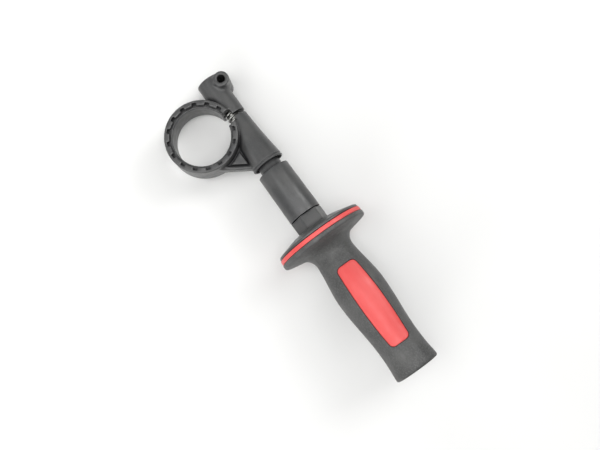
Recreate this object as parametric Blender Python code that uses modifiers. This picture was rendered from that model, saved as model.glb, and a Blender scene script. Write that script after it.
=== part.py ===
"""Side handle for a hand drill: a split clamping collar, a spacer sleeve and a guarded grip.

The collar's bore is centred on the origin with its axis along Z. The handle's axis runs along X,
beside the collar, and the grip screws on to a long bolt that draws the collar shut.
Lengths are in metres. A station is a distance along the handle's axis, measured from the split.
"""
import math

import bmesh
import bpy
from mathutils import Matrix, Vector

MM = 0.001

# Clearances between pieces
FACE_GAP = 0.3 * MM
SLIDING_GAP = 0.35 * MM
CUT_MARGIN = 1.0 * MM

# Clamping collar: the ring
COLLAR_BORE_RADIUS = 21.5 * MM
COLLAR_WALL = 5.7 * MM
COLLAR_HEIGHT = 25.0 * MM
SPLIT_GAP = 2.0 * MM
SLOT_WIDTH = 9.6 * MM
SLOT_PAST_WALL = 1.1 * MM
NOTCH_POSITIONS = 16
NOTCH_WIDTH = 3.4 * MM
NOTCH_DEPTH = 3.2 * MM
NOTCH_RIM = 1.8 * MM
LEDGE_WIDTH = 1.8 * MM
HANDLE_OFFSET = 28.1 * MM

# Clamping collar: the boss that holds the bolt's head and guides the depth rod
BOSS_RADIUS = 9.7 * MM
BOSS_LENGTH = 34.0 * MM
BOSS_EDGE = 1.4 * MM
GUIDE_HOLE_RADIUS = 3.1 * MM
GUIDE_WALL = 2.8 * MM
GUIDE_ABOVE = 11.6 * MM
GUIDE_BELOW = 18.0 * MM
GUIDE_OFFSET = 8.3 * MM
GUIDE_STATION = -26.7 * MM
GUIDE_EDGE = 0.7 * MM

# Clamping collar: the cone that seats the sleeve
CONE_LENGTH = 43.5 * MM
CONE_SMALL_RADIUS = 9.4 * MM
CONE_LARGE_RADIUS = 12.75 * MM
CONE_FLARE_POWER = 1.6
CONE_EDGE = 0.9 * MM
CONE_RIM_WIDTH = 1.5 * MM
CONE_GROOVE_WIDTH = 0.7 * MM
CONE_GROOVE_DEPTH = 0.5 * MM
CONE_ROOT = 0.8 * MM
SOCKET_DEPTH = 11.0 * MM

# Clamping collar: strap and web between the ring and the cone
STRAP_THICKNESS = 2.9 * MM
STRAP_INSET = 2.5 * MM
STRAP_RISE = 3.7 * MM
STRAP_LOW_HEIGHT = 9.0 * MM
STRAP_TAPER = 20.0 * MM
STRAP_INTO_CONE = 0.5 * MM
WEB_THICKNESS = 6.0 * MM
PANEL_THICKNESS = 11.0 * MM
PANEL_RING_GAP = 1.9 * MM
PANEL_STRAP_GAP = 0.9 * MM
PANEL_CONE_GAP = 2.7 * MM

# Bolt, spring and thread insert
BOLT_RADIUS = 3.95 * MM
BOLT_HOLE_RADIUS = 4.4 * MM
THREAD_RADIUS = 3.65 * MM
THREAD_ENGAGED = 12.5 * MM
THREAD_END_CHAMFER = 0.8 * MM
HEAD_RADIUS = 6.5 * MM
HEAD_THICKNESS = 7.8 * MM
HEAD_FLATS = 10.6 * MM
HEAD_RECESS = 3.8 * MM
HEAD_EDGE = 0.6 * MM
ROD_GROOVE_RADIUS = 3.35 * MM
SPRING_WIRE = 1.3 * MM
SPRING_PITCH = 3.1 * MM
SPRING_SEAT_DEPTH = 8.3 * MM
SPRING_POINTS_PER_TURN = 13
INSERT_FLATS = 13.0 * MM
INSERT_LENGTH = 14.0 * MM

# Spacer sleeve
NECK_RADIUS = 8.75 * MM
NECK_SHOWING = 5.6 * MM
SLEEVE_LENGTH = 40.5 * MM
SLEEVE_START_RADIUS = 12.3 * MM
SLEEVE_END_RADIUS = 12.7 * MM
SLEEVE_EDGE = 0.7 * MM
SLEEVE_CORE_RADIUS = 9.4 * MM
SLEEVE_CORE_FLOOR = 6.0 * MM

# Guard disc with its hexagon neck
HEX_CORNER_RADIUS = 13.0 * MM
HEX_LENGTH = 11.5 * MM
GUARD_INSET = 1.0 * MM
GUARD_HUB_RADIUS = 20.0 * MM
GUARD_RIM_THICKNESS = 1.9 * MM
GUARD_DISH = 4.1 * MM
GUARD_EDGE = 1.0 * MM
FRONT_SPIGOT_LENGTH = 5.0 * MM
BACK_SPIGOT_RADIUS = 8.0 * MM
BACK_SPIGOT_LENGTH = 9.0 * MM

# Red core
CORE_DISC_INSET = 0.4 * MM
CORE_DISC_THICKNESS = 3.1 * MM
CORE_TUBE_RADIUS = 11.5 * MM
CORE_TUBE_WALL = 3.0 * MM
CORE_BORE_PAST_BOLT = 6.0 * MM
CORE_DIVIDER = 3.0 * MM

# Soft cover
COVER_DISC_RADIUS = 35.1 * MM
COVER_RIM_THICKNESS = 3.3 * MM
COVER_EDGE = 1.5 * MM
COVER_DISH = 3.3 * MM
COVER_DISH_RADIUS = 19.3 * MM
GRIP_LENGTH = 114.9 * MM
GRIP_WAIST_RADIUS = 15.45 * MM
GRIP_WAIST_STATION = 11.9 * MM
GRIP_SWELL_RADIUS = 18.8 * MM
GRIP_SWELL_STATION = 47.5 * MM
GRIP_HOLLOW_RADIUS = 16.2 * MM
GRIP_HOLLOW_STATION = 93.0 * MM
GRIP_LIP_RADIUS = 17.4 * MM
GRIP_LIP_LENGTH = 3.2 * MM
GRIP_END_EDGE = 2.4 * MM
GRIP_END_DISH = 0.8 * MM
GRIP_END_DISH_RADIUS = 13.0 * MM
COVER_END_WALL = 5.0 * MM

# Badge set into the cover
BADGE_START = 25.4 * MM
BADGE_LENGTH = 67.2 * MM
BADGE_END_WIDTH = 15.2 * MM
BADGE_MIDDLE_WIDTH = 18.6 * MM
BADGE_CORNER = 3.6 * MM
BADGE_THICKNESS = 1.4 * MM
BADGE_SINK = 0.1 * MM
GRIP_TURN = math.radians(-5.0)

# Smoothness
COLLAR_SEGMENTS = 80
TURN_STEPS = 48
SMALL_SEGMENTS = 28
ARC_STEPS = 4
HEAD_ARC_STEPS = 9
CONE_STEPS = 6
GRIP_STEPS = 17
BADGE_STEPS = 12
BADGE_SIDE_STEPS = 8
SHARP_ANGLE = math.radians(35.0)
MERGE_DISTANCE = 0.001 * MM
HEX_SIDES = 6

# Sizes that follow from the ones above
GUARD_RADIUS = COVER_DISC_RADIUS - GUARD_INSET
CORE_DISC_RADIUS = COVER_DISC_RADIUS - CORE_DISC_INSET
COLLAR_RADIUS = COLLAR_BORE_RADIUS + COLLAR_WALL
GUIDE_RADIUS = GUIDE_HOLE_RADIUS + GUIDE_WALL
GUIDE_PLACE = (GUIDE_STATION, HANDLE_OFFSET + GUIDE_OFFSET)
SPRING_RADIUS = BOLT_RADIUS + SLIDING_GAP + SPRING_WIRE / 2
SPRING_SEAT_RADIUS = SPRING_RADIUS + SPRING_WIRE / 2 + SLIDING_GAP
SPRING_SEAT_STATION = SPLIT_GAP / 2 + SPRING_SEAT_DEPTH
HEAD_BACK = -BOSS_LENGTH + HEAD_RECESS
HEAD_FRONT = HEAD_BACK + HEAD_THICKNESS
SOCKET_FLOOR = CONE_LENGTH - SOCKET_DEPTH
SOCKET_RADIUS = NECK_RADIUS + SLIDING_GAP
SLEEVE_START = CONE_LENGTH + NECK_SHOWING
SLEEVE_END = SLEEVE_START + SLEEVE_LENGTH
SLEEVE_CORE_START = SLEEVE_START + SLEEVE_CORE_FLOOR
HEX_START = SLEEVE_END + FACE_GAP
GUARD_HUB = HEX_START + HEX_LENGTH
GUARD_RIM_FRONT = GUARD_HUB + GUARD_DISH
GUARD_BACK = GUARD_RIM_FRONT + GUARD_RIM_THICKNESS
CORE_FRONT = GUARD_BACK + FACE_GAP
CORE_BACK = CORE_FRONT + CORE_DISC_THICKNESS
COVER_FRONT = CORE_BACK + FACE_GAP
COVER_END = COVER_FRONT + GRIP_LENGTH
COVER_FLOOR = COVER_END - COVER_END_WALL
CORE_END = COVER_FLOOR - FACE_GAP
INSERT_START = GUARD_BACK + BACK_SPIGOT_LENGTH + FACE_GAP
INSERT_END = INSERT_START + INSERT_LENGTH
BOLT_END = INSERT_START + THREAD_ENGAGED
CORE_BORE_END = BOLT_END + CORE_BORE_PAST_BOLT
CORE_HOLLOW_START = CORE_BORE_END + CORE_DIVIDER
GRIP_WAIST = COVER_FRONT + GRIP_WAIST_STATION
GRIP_LIP = COVER_END - GRIP_LIP_LENGTH
BADGE_FIRST = COVER_FRONT + BADGE_START
BADGE_LAST = BADGE_FIRST + BADGE_LENGTH


def clear_scene():
    """Removes whatever the file holds, and makes the two collections."""
    for obj in list(bpy.data.objects):
        bpy.data.objects.remove(obj, do_unlink=True)
    collections = {}
    for name in ("side_handle", "cutters"):
        collection = bpy.data.collections.new(name)
        bpy.context.scene.collection.children.link(collection)
        collections[name] = collection
    return collections


COLLECTIONS = clear_scene()


def make_material(name, colour, roughness, metallic=0.0):
    """A Principled material of one colour."""
    material = bpy.data.materials.new(name)
    material.use_nodes = True
    shader = material.node_tree.nodes["Principled BSDF"]
    shader.inputs["Base Color"].default_value = (*colour, 1.0)
    shader.inputs["Roughness"].default_value = roughness
    shader.inputs["Metallic"].default_value = metallic
    return material


NYLON = make_material("black_nylon", (0.075, 0.075, 0.077), 0.45)
RUBBER = make_material("black_soft_grip", (0.085, 0.085, 0.085), 0.62)
RED = make_material("red_plastic", (0.75, 0.11, 0.10), 0.42)
STEEL = make_material("zinc_plated_steel", (0.72, 0.72, 0.70), 0.28, 1.0)


def add_object(name, mesh, material=None):
    """Puts a mesh in the scene as a part, or as a cutter where it has no material."""
    obj = bpy.data.objects.new(name, mesh)
    if material is None:
        COLLECTIONS["cutters"].objects.link(obj)
        obj.hide_render = True
        obj.display_type = 'WIRE'
    else:
        COLLECTIONS["side_handle"].objects.link(obj)
        obj.data.materials.append(material)
    return obj


def add_axis(name, parent=None):
    """An empty on the handle's axis, whose Z points along the handle towards the grip."""
    empty = bpy.data.objects.new(name, None)
    COLLECTIONS["side_handle"].objects.link(empty)
    if parent is None:
        empty.location = (0.0, HANDLE_OFFSET, 0.0)
        empty.rotation_euler = (0.0, math.radians(90.0), 0.0)
    else:
        empty.parent = parent
    return empty


def shade_smooth(mesh):
    """Smooth shading with the sharp edges kept."""
    mesh.shade_smooth()
    mesh.set_sharp_from_angle(angle=SHARP_ANGLE)


def arc(centre, radius, start, end, steps=ARC_STEPS):
    """Points of an arc in a plane, from one angle to another in degrees."""
    points = []
    for step in range(steps + 1):
        angle = math.radians(start + (end - start) * step / steps)
        points.append((centre[0] + radius * math.cos(angle), centre[1] + radius * math.sin(angle)))
    return points


def turned(name, outline, axis, material=None, closed=False, steps=TURN_STEPS):
    """Turns an outline of (station, radius) points, which starts at the far station, about an axis."""
    mesh = bpy.data.meshes.new(name)
    points = [(radius, 0.0, station) for station, radius in outline]
    edges = [(index, index + 1) for index in range(len(points) - 1)]
    if closed:
        edges.append((len(points) - 1, 0))
    mesh.from_pydata(points, edges, [])
    obj = add_object(name, mesh, material)
    obj.parent = axis
    screw = obj.modifiers.new("turn", 'SCREW')
    screw.angle = 2 * math.pi
    screw.steps = steps
    screw.render_steps = steps
    screw.use_merge_vertices = True
    screw.merge_threshold = MERGE_DISTANCE
    screw.use_smooth_shade = True
    return obj


def cylinder(name, radius, low, high, location=(0.0, 0.0), axis=None, material=None,
             segments=SMALL_SEGMENTS):
    """A cylinder along its own Z from low to high, or a regular prism of a few segments."""
    bm = bmesh.new()
    bmesh.ops.create_cone(bm, cap_ends=True, segments=segments, radius1=radius, radius2=radius,
                          depth=high - low)
    bmesh.ops.translate(bm, vec=(location[0], location[1], (low + high) / 2), verts=bm.verts)
    mesh = bpy.data.meshes.new(name)
    bm.to_mesh(mesh)
    bm.free()
    shade_smooth(mesh)
    obj = add_object(name, mesh, material)
    obj.parent = axis
    return obj


def box(name, low, high, axis=None):
    """A box cutter between two corners."""
    bm = bmesh.new()
    bmesh.ops.create_cube(bm, size=1.0)
    size = [top - bottom for bottom, top in zip(low, high)]
    middle = [(top + bottom) / 2 for bottom, top in zip(low, high)]
    bmesh.ops.scale(bm, vec=size, verts=bm.verts)
    bmesh.ops.translate(bm, vec=middle, verts=bm.verts)
    mesh = bpy.data.meshes.new(name)
    bm.to_mesh(mesh)
    bm.free()
    obj = add_object(name, mesh)
    obj.parent = axis
    return obj


def prism(name, outline, low, high, axis=None, material=None):
    """A flat outline given thickness along its own Z, from low to high."""
    curve = bpy.data.curves.new(name, 'CURVE')
    curve.dimensions = '2D'
    curve.fill_mode = 'BOTH'
    curve.extrude = (high - low) / 2
    spline = curve.splines.new('POLY')
    spline.points.add(len(outline) - 1)
    for point, (x, y) in zip(spline.points, outline):
        point.co = (x, y, 0.0, 1.0)
    spline.use_cyclic_u = True
    drawn = bpy.data.objects.new(name + "_outline", curve)
    COLLECTIONS["cutters"].objects.link(drawn)
    bpy.context.view_layer.update()
    evaluated = drawn.evaluated_get(bpy.context.evaluated_depsgraph_get())
    mesh = bpy.data.meshes.new_from_object(evaluated)
    bpy.data.objects.remove(drawn, do_unlink=True)
    bm = bmesh.new()
    bm.from_mesh(mesh)
    bmesh.ops.remove_doubles(bm, verts=bm.verts, dist=MERGE_DISTANCE)
    bmesh.ops.translate(bm, vec=(0.0, 0.0, (low + high) / 2), verts=bm.verts)
    bmesh.ops.recalc_face_normals(bm, faces=bm.faces)
    bm.to_mesh(mesh)
    bm.free()
    mesh.name = name
    obj = add_object(name, mesh, material)
    obj.parent = axis
    return obj


def combine(obj, other, operation):
    """Adds, cuts or intersects one solid with another."""
    modifier = obj.modifiers.new(operation.lower() + "_" + other.name, 'BOOLEAN')
    modifier.operation = operation
    modifier.solver = 'EXACT'
    modifier.object = other


def cone_radius(station):
    """The cone's radius, which flares more and more towards the sleeve."""
    share = min(max(station / CONE_LENGTH, 0.0), 1.0)
    return CONE_SMALL_RADIUS + (CONE_LARGE_RADIUS - CONE_SMALL_RADIUS) * share ** CONE_FLARE_POWER


def barrel_outline():
    """Cone and boss in one outline, from the cone's grooved rim to the boss's rounded far end."""
    rim = CONE_LENGTH - CONE_RIM_WIDTH
    groove = rim - CONE_GROOVE_WIDTH
    points = [(CONE_LENGTH, 0.0)]
    points += arc((CONE_LENGTH - CONE_EDGE, CONE_LARGE_RADIUS - CONE_EDGE), CONE_EDGE, 0, 90)
    points.append((rim, cone_radius(rim)))
    points.append((rim, cone_radius(rim) - CONE_GROOVE_DEPTH))
    points.append((groove, cone_radius(groove) - CONE_GROOVE_DEPTH))
    for station in stations(groove, CONE_ROOT, CONE_STEPS):
        points.append((station, cone_radius(station)))
    points.append((-CONE_ROOT, BOSS_RADIUS))
    points += arc((-BOSS_LENGTH + BOSS_EDGE, BOSS_RADIUS - BOSS_EDGE), BOSS_EDGE, 90, 180)
    points.append((-BOSS_LENGTH, 0.0))
    return points


def strap_line():
    """The strap's outer face: its start inside the ring's wall, its end in the cone, and its direction."""
    corner = Vector((CONE_LENGTH - CONE_RIM_WIDTH, HANDLE_OFFSET - CONE_LARGE_RADIUS + STRAP_RISE))
    from_centre = COLLAR_RADIUS - STRAP_INSET
    touch_angle = math.atan2(corner.y, corner.x) - math.acos(from_centre / corner.length)
    touch = Vector((math.cos(touch_angle), math.sin(touch_angle))) * from_centre
    return touch, corner, (corner - touch).normalized()


def strap_solid():
    """The strap: as tall as the ring where it leaves it, and tapered to a low bar at the cone."""
    touch, corner, along = strap_line()
    frame = bpy.data.objects.new("strap_frame", None)
    COLLECTIONS["cutters"].objects.link(frame)
    frame.location = (touch.x, touch.y, 0.0)
    frame.rotation_euler = (math.radians(90.0), 0.0, math.atan2(along.y, along.x))
    length = (corner - touch).length + STRAP_INTO_CONE
    upper = [(0.0, COLLAR_HEIGHT / 2), (STRAP_TAPER, STRAP_LOW_HEIGHT / 2), (length, STRAP_LOW_HEIGHT / 2)]
    lower = [(x, -z) for x, z in reversed(upper)]
    return prism("strap", upper + lower, -STRAP_THICKNESS, 0.0, frame)


def web_outline():
    """The web between ring, strap and cone, drawn as far as the middle of each of them."""
    touch, corner, along = strap_line()
    inward = Vector((-along.y, along.x)) * STRAP_THICKNESS / 2
    return [(0.0, 0.0), tuple(touch + inward), tuple(corner + inward), (corner.x, HANDLE_OFFSET),
            (0.0, HANDLE_OFFSET)]


def panel_outline():
    """The raised panel on the web, which keeps clear of the ring, the strap and the cone."""
    touch, corner, along = strap_line()
    inward = Vector((-along.y, along.x))
    strap_side = touch + inward * (STRAP_THICKNESS + PANEL_STRAP_GAP)
    ring_side = COLLAR_RADIUS + PANEL_RING_GAP
    cone_side = HANDLE_OFFSET - CONE_SMALL_RADIUS - PANEL_CONE_GAP
    near_cone = strap_side + along * (cone_side - strap_side.y) / along.y
    near_ring = strap_side + along * math.sqrt(ring_side ** 2 - strap_side.length_squared)
    first = math.degrees(math.asin(cone_side / ring_side))
    last = math.degrees(math.atan2(near_ring.y, near_ring.x))
    return [tuple(near_cone)] + arc((0.0, 0.0), ring_side, first, last)


def notch_cutter():
    """All the notches of the ring's upper face in one cutter, with the slot in the place of one."""
    bm = bmesh.new()
    inner = COLLAR_BORE_RADIUS + LEDGE_WIDTH / 2
    outer = COLLAR_RADIUS - NOTCH_RIM
    low = COLLAR_HEIGHT / 2 - NOTCH_DEPTH
    high = COLLAR_HEIGHT / 2 + CUT_MARGIN
    for index in range(1, NOTCH_POSITIONS):
        angle = math.radians(90.0) + 2 * math.pi * index / NOTCH_POSITIONS
        size = Matrix.Diagonal((outer - inner, NOTCH_WIDTH, high - low, 1.0))
        place = Matrix.Translation(((inner + outer) / 2, 0.0, (low + high) / 2))
        bmesh.ops.create_cube(bm, size=1.0, matrix=Matrix.Rotation(angle, 4, 'Z') @ place @ size)
    mesh = bpy.data.meshes.new("notches")
    bm.to_mesh(mesh)
    bm.free()
    return add_object("notches", mesh)


def head_section(clearance):
    """The bolt head's outline across the handle: a circle with two flats."""
    radius = HEAD_RADIUS + clearance
    flat = HEAD_FLATS / 2 + clearance
    reach = math.degrees(math.asin(flat / radius))
    near = arc((0.0, 0.0), radius, 90 - reach, 90 + reach, HEAD_ARC_STEPS)
    return near + [(-x, -y) for x, y in near]


def guide_tube():
    """The tube beside the bolt's head that the depth rod slides in, with chamfered ends."""
    axis = bpy.data.objects.new("guide_axis", None)
    COLLECTIONS["cutters"].objects.link(axis)
    axis.location = (*GUIDE_PLACE, 0.0)
    return turned("guide_tube", [(GUIDE_ABOVE, 0.0),
                                 (GUIDE_ABOVE, GUIDE_RADIUS - GUIDE_EDGE),
                                 (GUIDE_ABOVE - GUIDE_EDGE, GUIDE_RADIUS),
                                 (-GUIDE_BELOW + GUIDE_EDGE, GUIDE_RADIUS),
                                 (-GUIDE_BELOW, GUIDE_RADIUS - GUIDE_EDGE),
                                 (-GUIDE_BELOW, 0.0)], axis, steps=SMALL_SEGMENTS)


def build_collar(axis):
    """The clamping collar, one moulding of ring, boss, guide, cone, strap and web."""
    half = COLLAR_HEIGHT / 2
    collar = cylinder("clamp_collar", COLLAR_RADIUS, -half, half, material=NYLON,
                      segments=COLLAR_SEGMENTS)
    added = [turned("barrel", barrel_outline(), axis),
             guide_tube(),
             strap_solid(),
             prism("web", web_outline(), -WEB_THICKNESS / 2, WEB_THICKNESS / 2),
             prism("panel", panel_outline(), -PANEL_THICKNESS / 2, PANEL_THICKNESS / 2)]
    for solid in added:
        combine(collar, solid, 'UNION')
    tall = half + CUT_MARGIN
    far_side = HANDLE_OFFSET + CONE_LARGE_RADIUS + CUT_MARGIN
    slot_side = COLLAR_RADIUS + SLOT_PAST_WALL
    head_end = -BOSS_LENGTH - CUT_MARGIN
    removed = [prism("head_pocket", head_section(SLIDING_GAP), head_end, HEAD_FRONT + FACE_GAP, axis),
               cylinder("guide_hole", GUIDE_HOLE_RADIUS, -GUIDE_BELOW - CUT_MARGIN,
                        GUIDE_ABOVE + CUT_MARGIN, GUIDE_PLACE),
               cylinder("bore", COLLAR_BORE_RADIUS, -tall, tall, segments=COLLAR_SEGMENTS),
               box("split", (-SPLIT_GAP / 2, 0.0, -tall), (SPLIT_GAP / 2, far_side, tall)),
               box("slot", (-SLOT_WIDTH / 2, 0.0, -tall), (SLOT_WIDTH / 2, slot_side, tall)),
               cylinder("ledge", COLLAR_BORE_RADIUS + LEDGE_WIDTH, half - NOTCH_DEPTH, tall,
                        segments=COLLAR_SEGMENTS),
               notch_cutter(),
               cylinder("bolt_hole", BOLT_HOLE_RADIUS, HEAD_FRONT - CUT_MARGIN,
                        SOCKET_FLOOR + CUT_MARGIN, axis=axis),
               cylinder("spring_seat", SPRING_SEAT_RADIUS, -SPRING_SEAT_STATION, SPRING_SEAT_STATION,
                        axis=axis),
               cylinder("socket", SOCKET_RADIUS, SOCKET_FLOOR, CONE_LENGTH + CUT_MARGIN, axis=axis)]
    for solid in removed:
        combine(collar, solid, 'DIFFERENCE')
    return collar


def build_bolt(axis):
    """The clamp bolt: a round head with two flats and a groove for the depth rod."""
    outline = [(BOLT_END, 0.0),
               (BOLT_END, THREAD_RADIUS - THREAD_END_CHAMFER),
               (BOLT_END - THREAD_END_CHAMFER, THREAD_RADIUS),
               (GUARD_BACK, THREAD_RADIUS),
               (GUARD_BACK - (BOLT_RADIUS - THREAD_RADIUS), BOLT_RADIUS),
               (HEAD_FRONT, BOLT_RADIUS),
               (HEAD_FRONT, HEAD_RADIUS)]
    outline += arc((HEAD_BACK + HEAD_EDGE, HEAD_RADIUS - HEAD_EDGE), HEAD_EDGE, 90, 180)
    outline.append((HEAD_BACK, 0.0))
    bolt = turned("clamp_bolt", outline, axis, STEEL, steps=SMALL_SEGMENTS)
    low = HEAD_BACK - CUT_MARGIN
    high = HEAD_FRONT + CUT_MARGIN
    wide = HEAD_RADIUS + CUT_MARGIN
    for side in (-1, 1):
        near = side * HEAD_FLATS / 2
        far = side * wide
        combine(bolt, box("head_flat", (min(near, far), -wide, low), (max(near, far), wide, high), axis),
                'DIFFERENCE')
    groove = cylinder("rod_groove", ROD_GROOVE_RADIUS, -wide, wide, GUIDE_PLACE)
    combine(bolt, groove, 'DIFFERENCE')
    return bolt


def build_spring(axis):
    """The spring round the bolt that opens the collar."""
    low = -SPRING_SEAT_STATION + FACE_GAP + SPRING_WIRE / 2
    length = -2 * low
    turns = length / SPRING_PITCH
    count = round(turns * SPRING_POINTS_PER_TURN)
    curve = bpy.data.curves.new("opening_spring", 'CURVE')
    curve.dimensions = '3D'
    curve.bevel_depth = SPRING_WIRE / 2
    curve.bevel_resolution = 2
    curve.use_fill_caps = True
    spline = curve.splines.new('POLY')
    spline.points.add(count)
    for index, point in enumerate(spline.points):
        angle = 2 * math.pi * turns * index / count
        point.co = (SPRING_RADIUS * math.cos(angle), SPRING_RADIUS * math.sin(angle),
                    low + length * index / count, 1.0)
    curve.materials.append(STEEL)
    spring = bpy.data.objects.new("opening_spring", curve)
    COLLECTIONS["side_handle"].objects.link(spring)
    spring.parent = axis
    return spring


def build_sleeve(axis):
    """The spacer sleeve: a neck that sits in the cone's socket and a body cored from behind."""
    outline = [(SLEEVE_END, SLEEVE_CORE_RADIUS)]
    outline += arc((SLEEVE_END - SLEEVE_EDGE, SLEEVE_END_RADIUS - SLEEVE_EDGE), SLEEVE_EDGE, 0, 90)
    outline += arc((SLEEVE_START + SLEEVE_EDGE, SLEEVE_START_RADIUS - SLEEVE_EDGE), SLEEVE_EDGE, 90, 180)
    outline += [(SLEEVE_START, NECK_RADIUS),
                (SOCKET_FLOOR + FACE_GAP, NECK_RADIUS),
                (SOCKET_FLOOR + FACE_GAP, BOLT_HOLE_RADIUS),
                (SLEEVE_CORE_START, BOLT_HOLE_RADIUS),
                (SLEEVE_CORE_START, SLEEVE_CORE_RADIUS)]
    return turned("spacer_sleeve", outline, axis, NYLON, closed=True)


def build_guard(axis):
    """The guard disc: a hexagon neck, a dished disc and a spigot at each end."""
    front_spigot = SLEEVE_CORE_RADIUS - SLIDING_GAP
    slope = math.degrees(math.atan2(GUARD_DISH, GUARD_RADIUS - GUARD_HUB_RADIUS))
    outline = [(GUARD_BACK + BACK_SPIGOT_LENGTH, BOLT_HOLE_RADIUS),
               (GUARD_BACK + BACK_SPIGOT_LENGTH, BACK_SPIGOT_RADIUS),
               (GUARD_BACK, BACK_SPIGOT_RADIUS),
               (GUARD_BACK, GUARD_RADIUS)]
    outline += arc((GUARD_RIM_FRONT + GUARD_EDGE, GUARD_RADIUS - GUARD_EDGE), GUARD_EDGE, 90, 180 - slope)
    outline += [(GUARD_HUB, GUARD_HUB_RADIUS),
                (GUARD_HUB, front_spigot),
                (HEX_START - FRONT_SPIGOT_LENGTH, front_spigot),
                (HEX_START - FRONT_SPIGOT_LENGTH, BOLT_HOLE_RADIUS)]
    guard = turned("guard_disc", outline, axis, NYLON, closed=True)
    neck = cylinder("hex_neck", HEX_CORNER_RADIUS, HEX_START, GUARD_HUB + GUARD_DISH, axis=axis,
                    segments=HEX_SIDES)
    combine(guard, neck, 'UNION')
    hole = cylinder("guard_hole", BOLT_HOLE_RADIUS, HEX_START - FACE_GAP, GUARD_BACK, axis=axis)
    combine(guard, hole, 'DIFFERENCE')
    return guard


def build_core(axis):
    """The red core: a disc that shows at the guard's rim and a tube that carries the cover."""
    spigot_hole = BACK_SPIGOT_RADIUS + SLIDING_GAP
    hollow = CORE_TUBE_RADIUS - CORE_TUBE_WALL
    outline = [(CORE_END, hollow),
               (CORE_END, CORE_TUBE_RADIUS),
               (CORE_BACK, CORE_TUBE_RADIUS),
               (CORE_BACK, CORE_DISC_RADIUS),
               (CORE_FRONT, CORE_DISC_RADIUS),
               (CORE_FRONT, spigot_hole),
               (INSERT_START, spigot_hole),
               (INSERT_START, BOLT_HOLE_RADIUS),
               (CORE_BORE_END, BOLT_HOLE_RADIUS),
               (CORE_BORE_END, 0.0),
               (CORE_HOLLOW_START, 0.0),
               (CORE_HOLLOW_START, hollow)]
    core = turned("grip_core", outline, axis, RED, closed=True)
    pocket = cylinder("insert_pocket", insert_corner(SLIDING_GAP), INSERT_START - CUT_MARGIN,
                      INSERT_END + FACE_GAP, axis=axis, segments=HEX_SIDES)
    combine(core, pocket, 'DIFFERENCE')
    return core


def insert_corner(clearance):
    """The corner radius of the insert's hexagon."""
    return (INSERT_FLATS / 2 + clearance) / math.cos(math.pi / HEX_SIDES)


def build_insert(axis):
    """The threaded steel insert that the core is moulded round."""
    insert = cylinder("thread_insert", insert_corner(0.0), INSERT_START, INSERT_END, axis=axis,
                      material=STEEL, segments=HEX_SIDES)
    hole = cylinder("insert_hole", THREAD_RADIUS + SLIDING_GAP, INSERT_START - CUT_MARGIN,
                    INSERT_END + CUT_MARGIN, axis=axis)
    combine(insert, hole, 'DIFFERENCE')
    return insert


def eased(share):
    """A share from 0 to 1 that starts and ends level."""
    return (1 - math.cos(math.pi * share)) / 2


def grip_radius(station):
    """The grip's radius along its length, as a palm swell between a waist and a flared end."""
    along = station - COVER_FRONT
    if along < GRIP_SWELL_STATION:
        share = max((along - GRIP_WAIST_STATION) / (GRIP_SWELL_STATION - GRIP_WAIST_STATION), 0.0)
        return GRIP_WAIST_RADIUS + (GRIP_SWELL_RADIUS - GRIP_WAIST_RADIUS) * eased(share)
    if along < GRIP_HOLLOW_STATION:
        share = (along - GRIP_SWELL_STATION) / (GRIP_HOLLOW_STATION - GRIP_SWELL_STATION)
        return GRIP_SWELL_RADIUS + (GRIP_HOLLOW_RADIUS - GRIP_SWELL_RADIUS) * eased(share)
    flare = GRIP_LENGTH - GRIP_LIP_LENGTH - GRIP_HOLLOW_STATION
    share = min((along - GRIP_HOLLOW_STATION) / flare, 1.0)
    return GRIP_HOLLOW_RADIUS + (GRIP_LIP_RADIUS - GRIP_HOLLOW_RADIUS) * share ** 2


def stations(first, last, steps):
    """Even stations from the first to the last, both included."""
    return [first + (last - first) * step / steps for step in range(steps + 1)]


def grip_surface(first, last, steps):
    """Points of the grip's outer surface between two stations."""
    return [(station, grip_radius(station)) for station in stations(first, last, steps)]


def build_cover(axis):
    """The soft cover: the guard's rear disc and the grip, with a pocket for the badge."""
    rim_back = COVER_FRONT + COVER_RIM_THICKNESS
    slope = math.degrees(math.atan2(COVER_DISH, COVER_DISC_RADIUS - COVER_DISH_RADIUS))
    cavity = CORE_TUBE_RADIUS + SLIDING_GAP
    outline = [(COVER_END - GRIP_END_DISH, 0.0),
               (COVER_END - GRIP_END_DISH, GRIP_END_DISH_RADIUS)]
    outline += arc((COVER_END - GRIP_END_EDGE, GRIP_LIP_RADIUS - GRIP_END_EDGE), GRIP_END_EDGE, 0, 90)
    outline += grip_surface(GRIP_LIP, GRIP_WAIST, GRIP_STEPS)
    outline.append((rim_back + COVER_DISH, COVER_DISH_RADIUS))
    outline += arc((rim_back - COVER_EDGE, COVER_DISC_RADIUS - COVER_EDGE), COVER_EDGE, slope, 90)
    outline += [(COVER_FRONT, COVER_DISC_RADIUS),
                (COVER_FRONT, cavity),
                (COVER_FLOOR, cavity),
                (COVER_FLOOR, 0.0)]
    cover = turned("grip_cover", outline, axis, RUBBER)
    pocket = turned("badge_pocket", badge_band(CUT_MARGIN, BADGE_THICKNESS + FACE_GAP), axis, closed=True)
    combine(pocket, prism("badge_pocket_edge", badge_outline(FACE_GAP), 0.0, COVER_DISC_RADIUS,
                          add_badge_frame(axis, "badge_pocket_frame")), 'INTERSECT')
    combine(cover, pocket, 'DIFFERENCE')
    return cover


def badge_band(above, below):
    """A band of the grip's surface, as deep as the badge, to be cut to the badge's outline."""
    first = BADGE_FIRST - CUT_MARGIN
    last = BADGE_LAST + CUT_MARGIN
    outer = [(station, radius + above) for station, radius in grip_surface(last, first, BADGE_STEPS)]
    inner = [(station, radius - below) for station, radius in grip_surface(first, last, BADGE_STEPS)]
    return outer + inner


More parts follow.
